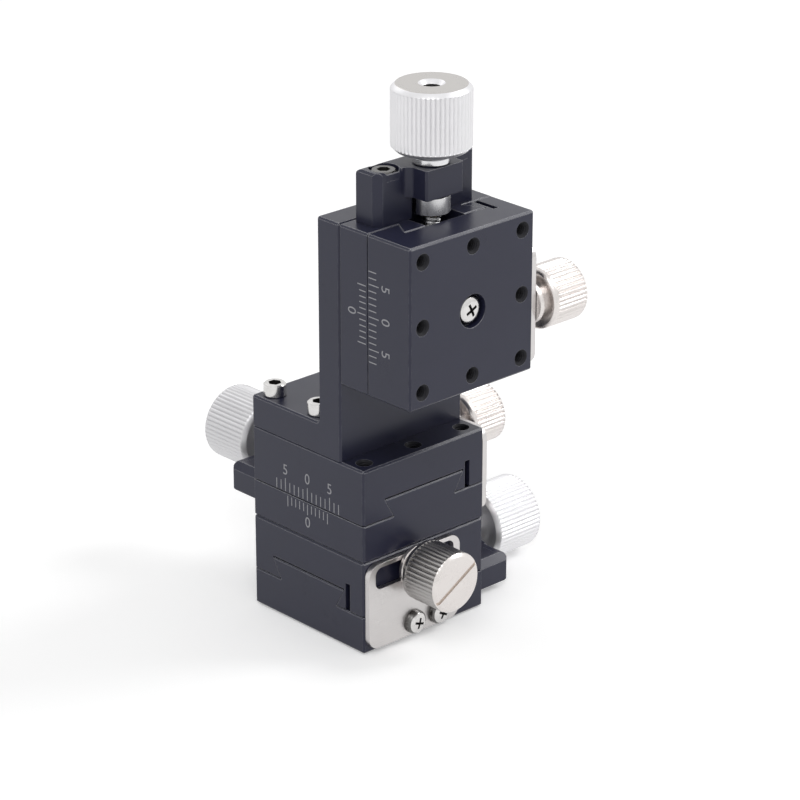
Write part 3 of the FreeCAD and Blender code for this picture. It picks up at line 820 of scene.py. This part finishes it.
for stage in STAGES:
    low, high = stage_box(stage, stage + "_drive_knob")
    length, rim = high.x - low.x, (high.y - low.y) / 2
    root = rim - RIB_DEPTH
    profile = ([(0, 1.5)] + chamfer_rings(0, 1, rim, DRIVE_CHAMFER, root)
               + [(length * share, rim) for share in (0.25, 0.5, 0.75)]
               + chamfer_rings(length, -1, rim, DRIVE_CHAMFER, root)[::-1]
               + [(length, 1.98), (length - 0.06, 1.88), (length - 0.6, 1.32), (length - 0.66, 1.3),
                  (length - 1.5, 1.3), (length - 1.5, 1.5)])
    place = aimed(stage, (low.x, 0, (low.z + high.z) / 2), (1, 0, 0), (0, 1, 0))
    # The mottle's two tones, scaled by the knob's painted light factor.
    dull, bright = [[KNOB_PAINTED_LIGHT[stage] * share for share in tone] + [1] for tone in
                    ((0.68, 0.675, 0.69), (0.85, 0.845, 0.86))]
    frosted = turned_metal(stage + " clear anodised aluminium", place, dull, bright,
                           0.34, 0.46, 0.00011, 0.00001, 0.85)
    # Turned rings on the faced end, whose colour is painted darker than the rim as painted shade.
    faced = turned_metal(stage + " faced knob end in painted shade", place, (0.46, 0.44, 0.425, 1), (0.62, 0.60, 0.58, 1),
                         0.24, 0.34, 0.00014, 0.000012)
    knob = grow(stage + "_drive_knob_knurled", lathe(profile, DRIVE_RIBS * STEPS_PER_RIB), knurl,
                {"Rim Radius": rim, "From": DRIVE_CHAMFER, "To": length - DRIVE_CHAMFER, "Material": frosted})
    knob.data.materials.append(faced)
    knob.data.materials.append(black_steel_and_painted_shade)
    # The end face takes the darker faced finish and the bore's wall the black steel, both as painted shade.
    for face in knob.data.polygons:
        if face.center.z > length - 0.03:
            face.material_index = 1
        elif face.center.xy.length < 1.45 and face.center.z < length - 0.6:
            face.material_index = 2
    shade(knob.data, 25)
    seat(knob, place, stage + "_spindle", "clear_anodised", stage + "_drive_knob")

# Clamp plates: 0.9 mm stainless sheet on the side of each base, blanked, with a long slot along
# which the clamp screw travels. The face is brushed along the plate.
brushed_lines, given, result = new_group(
    "brushed lines", "ShaderNodeTree",
    [("Vector", "Vector"), ("Line Width", "Float", 0.00005), ("Line Length", "Float", 0.006)],
    [("Height", "Float")])
coarse = math_node(brushed_lines, "DIVIDE", 1.0, given["Line Length"])
fine = math_node(brushed_lines, "DIVIDE", 1.0, given["Line Width"])
stretch = combined(brushed_lines, coarse, fine, fine)
stretched = add(brushed_lines, "ShaderNodeVectorMath", {0: given["Vector"], 1: stretch}, operation="MULTIPLY")
scratches = add(brushed_lines, "ShaderNodeTexNoise",
                {"Vector": stretched.outputs[0], "Scale": 1.0, "Detail": 2.0})
brushed_lines.links.new(scratches.outputs[0], result["Height"])
for stage in STAGES:
    stainless, tree, shader, vector = new_material(stage + " brushed stainless sheet", frames[stage])
    brushed = use_group(tree, brushed_lines, Vector=vector, Line_Width=0.00004, Line_Length=0.004)
    grain = fine_grain(tree, vector, 0.0001, 0.005, 0.26, 0.4)
    wear = use_group(tree, edge_wear_and_highlight, Vector=vector, Edge_Width=0.00008, Patch_Size=0.001)
    tone = sum_of_products(tree, brushed["Height"], 0.6, grain["Mottle"], 0.4)
    colour = blend_colours(tree, tone, (0.50, 0.482, 0.475, 1), (0.74, 0.718, 0.712, 1))
    set_surface(tree, shader, colour, grain["Roughness"], 1.0)
    bump(tree, shader, brushed["Height"], 0.000006, 0.35, wear["Rounded Normal"])
    finish_node(stage + "_clamp_plate", stainless)

# Clamp washers: a nickel-plated ring between the plate and the thumb screw's neck, with broken
# edges. It stays on the screw and presses on the plate when the screw is tightened.
NICKEL = ((0.62, 0.585, 0.565, 1), (0.82, 0.78, 0.76, 1))
# Painted shade: a darker copy of the nickel.
NICKEL_IN_PAINTED_SHADE = ((0.30, 0.29, 0.285, 1), (0.48, 0.465, 0.455, 1))
for stage in STAGES:
    low, high = stage_box(stage, stage + "_clamp_washer")
    place = aimed(stage, ((low.x + high.x) / 2, high.y, (low.z + high.z) / 2), (0, -1, 0), (1, 0, 0))
    plated = turned_metal(stage + " washer nickel", place, *NICKEL, 0.2, 0.34, 0.00009, 0.000005)
    ring = washer(stage + "_clamp_ring_washer", (high.x - low.x) / 2, 1.5, 0.15, high.y - low.y, plated)
    seat(ring, place, stage + "_clamp_ring", "nickel_plated", stage + "_clamp_washer")

# Clamp screws: M3 thumb screws of nickel-plated steel with a neck, a smooth rear rim and a
# straight-knurled head; the end face is turned, chamfered and slotted for a coin. The X one's ribs
# are painted a darker nickel, as painted shade.
CLAMP_RIBS = 40
CLAMP_RIB_DEPTH = 0.26
CLAMP_HEAD_LENGTH = 7.2
CLAMP_CHAMFER = 0.5
COIN_SLOT = (0.55, 0.3, math.radians(30))
NECK_RADIUS = 2.75


def turned(outline, angle):
    """An outline turned about its middle."""
    cosine, sine = math.cos(angle), math.sin(angle)
    return [(x * cosine - y * sine, x * sine + y * cosine) for x, y in outline]


for stage in STAGES:
    low, high = stage_box(stage, stage + "_clamp_knob")
    rim = (high.x - low.x) / 2
    end = high.y - low.y
    head = end - CLAMP_HEAD_LENGTH
    neck = head - 1.0
    root = rim - CLAMP_RIB_DEPTH
    profile = ([(0, 0), (0, 0.95), (0.35, 1.26), (neck, 1.26), (neck, NECK_RADIUS - 0.12),
                (neck + 0.12, NECK_RADIUS), (head, NECK_RADIUS), (head, rim - 0.4), (head + 0.08, rim - 0.26),
                (head + 0.3, rim - 0.04), (head + 0.4, rim), (head + 0.88, rim), (head + 0.9, rim),
                (head + 0.92, rim)]
               + [(head + 0.9 + (CLAMP_HEAD_LENGTH - 0.9) * share, rim) for share in (0.3, 0.6)]
               + chamfer_rings(end, -1, rim, CLAMP_CHAMFER, root)[::-1] + [(end, 0)])
    wide, deep, turn = COIN_SLOT
    bar = [(-rim - 1, -wide / 2), (rim + 1, -wide / 2), (rim + 1, wide / 2), (-rim - 1, wide / 2)]
    slot_cutter = prism(turned(bar, turn), end - deep, end + 1)
    place = aimed(stage, ((low.x + high.x) / 2, high.y, (low.z + high.z) / 2), (0, -1, 0), (1, 0, 0))
    nickel = turned_metal(stage + " clamp screw nickel", place, *NICKEL, 0.22, 0.36, 0.0001, 0.00001)
    knob = grow(stage + "_thumb_screw", lathe(profile, CLAMP_RIBS * STEPS_PER_RIB), knurl,
                {"Ribs": CLAMP_RIBS, "Depth": CLAMP_RIB_DEPTH, "Rim Radius": rim, "From": head + 0.89,
                 "To": end - CLAMP_CHAMFER, "Material": nickel})
    thread = grow("thread", point_mesh([(0, 0, 0.35)]), helix,
                  {"Pitch": M3_PITCH, "Length": neck - 0.7, "Radius": 1.22, "Ridge Depth": 0.22,
                   "Material": nickel})
    slotted = shade(cut(knob.data, slot_cutter), 25)
    knob.data = join([slotted, thread.data], knob.name)
    bpy.data.objects.remove(thread)
    shade(knob.data, 25)
    in_the_slot = turned_metal(stage + " coin slot nickel", place, (0.52, 0.44, 0.38, 1),
                               (0.68, 0.60, 0.53, 1), 0.4, 0.6, 0.0002, 0.00001)
    # Painted shade: the X screw's ribs take the darker nickel.
    tones = NICKEL_IN_PAINTED_SHADE if stage == "x" else NICKEL
    on_the_ribs = turned_metal(stage + " knurled nickel", place, *tones, 0.22, 0.36, 0.0001, 0.00001)
    for metal in (nickel, in_the_slot, on_the_ribs):
        knob.data.materials.append(metal)
    for face in knob.data.polygons:
        off_middle = abs(face.center.x * math.sin(turn) - face.center.y * math.cos(turn))
        in_slot = end - deep - 0.02 < face.center.z < end - 0.02 and off_middle < wide / 2 + 0.01
        on_rim = head < face.center.z < end - CLAMP_CHAMFER and face.center.xy.length > rim - 0.5
        face.material_index = 1 if in_slot else 2 * on_rim
    seat(knob, place, stage + "_clamp", "nickel_plated", stage + "_clamp_knob")

# Screws: M2 steel, plated. Bright pan heads with a cross recess hold the clamp plates, the nuts and the
# upper bases; cap heads with a hexagon socket hold the brackets and the angle bracket's foot. The
# bracket screws are painted darker all over, the heads' lower rims darker and the recesses black, all
# as painted shade.
HEAD_HEIGHT = 1.3
CAP_HEIGHT = 2.0
CAP_RADIUS = 1.76
MIDDLE_HEAD_RADIUS = 2.3
M2_CORE = 0.76
ARM_LENGTH, ARM_WIDTH, RECESS_DEPTH = 1.02, 0.21, 0.85

screw_set, given, made = new_tree("set of screws", [
    ("Screw", "Object"), ("Seed", "Int", 3), ("Most Turn", "Float", math.pi / 2)])
shape = add(screw_set, "GeometryNodeObjectInfo", {"Object": given["Screw"], "As Instance": True})
turn = add(screw_set, "FunctionNodeRandomValue", {"Seed": given["Seed"]}, data_type="FLOAT")
screw_set.links.new(given["Most Turn"], turn.inputs[3])
spin = combined(screw_set, z=turn.outputs[1])
screws = add(screw_set, "GeometryNodeInstanceOnPoints",
             {"Points": given["Geometry"], "Instance": shape.outputs["Geometry"], "Rotation": spin})
screw_set.links.new(screws.outputs[0], made)

bright_steel = grained("bright plated screw steel", ((0.56, 0.55, 0.54), (0.76, 0.75, 0.74)),
                       (0.00008, 0.0009), (0.14, 0.28), (0.000005, 0.3), metallic=1.0, edge=0.00005)
# Painted shade: a darker copy of the plated screw steel.
screw_steel_in_painted_shade = grained("plated screw steel in painted shade", ((0.10, 0.098, 0.096), (0.20, 0.196, 0.192)),
                     (0.00008, 0.0009), (0.2, 0.36), (0.000005, 0.3), metallic=1.0)


def cross_recess(size):
    """Tapered cross that a driver's tip leaves in the head."""
    arm = [(ARM_WIDTH, ARM_WIDTH), (ARM_WIDTH, ARM_LENGTH), (-ARM_WIDTH, ARM_LENGTH)]
    outline = []
    for quarter in range(4):
        outline += [(size * x, size * y) for x, y in turned(arm, math.radians(90 * quarter))]
    return prism(outline, HEAD_HEIGHT - RECESS_DEPTH, HEAD_HEIGHT + 0.2, 0.42)


def with_thread(head, length):
    """A turned screw with its ridge below the head."""
    thread = grow("thread", point_mesh([(0, 0, -length + 0.2)]), helix,
                  {"Pitch": M2_PITCH, "Length": length - 0.4, "Radius": 0.75, "Ridge Depth": 0.19,
                   "Steps per Turn": 16, "Material": bright_steel})
    mesh = shade(join([head, thread.data], "screw"))
    bpy.data.objects.remove(thread)
    return mesh


def shank(length, rim):
    """Profile below a head: its lower edge, then the core of the thread."""
    return [(0, rim - 0.1), (0, M2_CORE), (-length + 0.3, M2_CORE), (-length, 0.5), (-length, 0)]


def pan_screw(length, head_radius=HEAD_RADIUS):
    """One screw: the head's seat at z 0, its top up and its thread down."""
    size = head_radius / HEAD_RADIUS
    dome = ((0, 0), (0.01, 0.5), (0.05, 0.95), (0.15, 1.32), (0.32, 1.6), (0.56, 1.79), (0.85, 1.88))
    profile = [(HEAD_HEIGHT - drop, radius * size) for drop, radius in dome]
    profile += [(0.12, head_radius)] + shank(length, head_radius)
    return with_thread(shade(cut(lathe(profile, 40), cross_recess(size))), length)


def cap_screw(length, height=HEAD_HEIGHT, rim=HEAD_RADIUS):
    """One screw with a cylindrical head and a hexagon socket, placed like a pan head screw."""
    profile = [(height, 0), (height, rim - 0.22), (height - 0.2, rim), (0.1, rim)] + shank(length, rim)
    socket = prism(hexagon(1.8), height - 1.0, height + 0.2)
    return with_thread(shade(cut(lathe(profile, 48), socket)), length)


def tall_cap_screw(length):
    return cap_screw(length, CAP_HEIGHT, CAP_RADIUS)


def middle_screw(length):
    return pan_screw(length, MIDDLE_HEAD_RADIUS)


def screw_group(name, stage, node, facing, sideways, body, seed, draw=pan_screw, steel=bright_steel):
    """Screws in place of a CAD node: their axes, seat and length are read from its box."""
    low, high = stage_box(stage, node)
    toward, beside = Vector(facing), Vector(sideways)
    third = toward.cross(beside)
    depth = sorted((low.dot(toward), high.dot(toward)))
    seat_at = depth[1] - HEAD_HEIGHT
    length = seat_at - depth[0]
    places = []
    for way in (beside, third):
        ends = sorted((low.dot(way), high.dot(way)))
        places.append(sorted({round(ends[0] + HEAD_RADIUS, 3), round(ends[1] - HEAD_RADIUS, 3)}))
    points = [(a, b, 0) for a in places[0] for b in places[1]]
    master = new_piece("screw", draw(length))
    group = grow(name, point_mesh(points), screw_set,
                 {"Screw": master, "Seed": seed, "Material": bright_steel})
    bpy.data.objects.remove(master)
    group.data.materials.clear()
    for each in (steel, screw_steel_in_painted_shade, black_steel_and_painted_shade):
        group.data.materials.append(each)
    crown = max(corner.co.z for corner in group.data.vertices)
    for face in group.data.polygons:
        spot = face.center
        off_axis = min(math.hypot(spot.x - a, spot.y - b) for a, b, c in points)
        face.material_index = 0
        # Painted shade: a head's lower rim takes the darker steel, its recess the black steel.
        if spot.z < 0.9 and off_axis > 1.5:
            face.material_index = 1
        elif off_axis < 1.1 and 0.1 < spot.z < crown - 0.12:
            face.material_index = 2
    seat(group, aimed(stage, toward * seat_at, facing, sideways), body, "bright_steel", node)


for number, stage in enumerate(STAGES):
    # Painted shade: the bracket screws are all in the darker steel.
    screw_group(stage + "_bracket_cap_screws", stage, stage + "_bracket_screws", (1, 0, 0), (0, 1, 0),
                carrier[stage], 11 + number, cap_screw, screw_steel_in_painted_shade)
    screw_group(stage + "_plate_cross_screws", stage, stage + "_clamp_plate_screws", (0, -1, 0), (1, 0, 0),
                carrier[stage], 21 + number)
    screw_group(stage + "_nut_cross_screw", stage, stage + "_nut_screw", (0, 0, 1), (1, 0, 0),
                carriage[stage], 31 + number, middle_screw)
for number, stage in enumerate(("y", "z")):
    screw_group(stage + "_base_cross_screws", stage, stage + "_base_screws", (0, 0, 1), (1, 0, 0),
                carrier[stage], 41 + number)
screw_group("foot_cap_screws", "x", "foot_screws", (0, 0, 1), (1, 0, 0), "y_carriage", 51, tall_cap_screw)

# Floor and surroundings: a plain white floor under a white studio. The floor takes the object's
# shadow; the camera and the shiny parts see floor and studio as white.
SURROUND_LIGHT = 0.55
floor_mesh = bpy.data.meshes.new("floor")
floor_mesh.from_pydata([(-3, -3, 0), (3, -3, 0), (3, 3, 0), (-3, 3, 0)], [], [(0, 1, 2, 3)])
floor_mesh.transform(Matrix.Translation((0, 0, cad_low.z - 0.0002)))
floor = bpy.data.objects.new("floor", floor_mesh)
scene.collection.objects.link(floor)
floor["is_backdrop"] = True


def seen_directly(tree):
    """1 for camera, glossy and transmission rays, otherwise 0."""
    path = add(tree, "ShaderNodeLightPath").outputs
    seen = math_node(tree, "ADD", path["Is Camera Ray"], path["Is Glossy Ray"], clamp=True)
    return math_node(tree, "ADD", seen, path["Is Transmission Ray"], clamp=True)


floor_white, tree, shader, vector = new_material("white studio floor")
shader.inputs["Roughness"].default_value = 0.9
shader.inputs["Specular IOR Level"].default_value = 0.1
patches = add(tree, "ShaderNodeTexNoise", {"Vector": vector, "Scale": 3.0})
tree.links.new(blend_colours(tree, patches.outputs[0], (0.88, 0.88, 0.88, 1), (0.90, 0.90, 0.90, 1)),
               shader.inputs["Base Color"])
glow = add(tree, "ShaderNodeEmission", {"Strength": math_node(tree, "MULTIPLY", seen_directly(tree), 0.3)})
both = add(tree, "ShaderNodeAddShader", {0: shader.outputs[0], 1: glow.outputs[0]})
tree.links.new(both.outputs[0], tree.nodes["Material Output"].inputs["Surface"])
floor_mesh.materials.append(floor_white)

world = bpy.data.worlds.new("white studio")
world.use_nodes = True
scene.world = world
tree = world.node_tree
background = tree.nodes["Background"]
level = remap(tree, seen_directly(tree), 0.0, 1.0, SURROUND_LIGHT)
tree.links.new(level, background.inputs["Strength"])
background.inputs["Color"].default_value = (1, 1, 1, 1)

# Lamps: three large soft discs round the object, a brighter one from the upper left front.
LAMPS = (("key", (-0.45, -0.40, 0.65), 0.50, 1.7), ("side", (0.60, -0.38, 0.60), 0.32, 2.2),
         ("rear", (0.10, 0.65, 0.55), 0.45, 0.5))
middle = (cad_low + cad_high) / 2
for name, spot, across, power in LAMPS:
    lamp = bpy.data.lights.new(name, "AREA")
    lamp.shape = "DISK"
    lamp.size = across
    lamp.energy = power
    light = bpy.data.objects.new(name, lamp)
    light.location = middle + Vector(spot)
    light.rotation_mode = "QUATERNION"
    light.rotation_quaternion = (middle - light.location).to_track_quat("-Z", "Y")
    scene.collection.objects.link(light)

# Camera: in front, to the left and above, with a long lens.
azimuth, elevation, distance = math.radians(-43.146), math.radians(22.499), 0.490837
target = Vector((0.002321, -0.004611, 0.035))
back = Vector((math.sin(azimuth) * math.cos(elevation), -math.cos(azimuth) * math.cos(elevation),
               math.sin(elevation)))
camera = bpy.data.objects.new("camera", bpy.data.cameras.new("camera"))
camera.data.sensor_width = 36.0
camera.data.lens = 146.064
camera.data.clip_start = 0.01
camera.data.clip_end = 20.0
camera.location = target + back * distance
camera.rotation_mode = "QUATERNION"
camera.rotation_quaternion = (-back).to_track_quat("-Z", "Y")
scene.collection.objects.link(camera)
scene.camera = camera
scene.view_settings.view_transform = "Standard"

low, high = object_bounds()
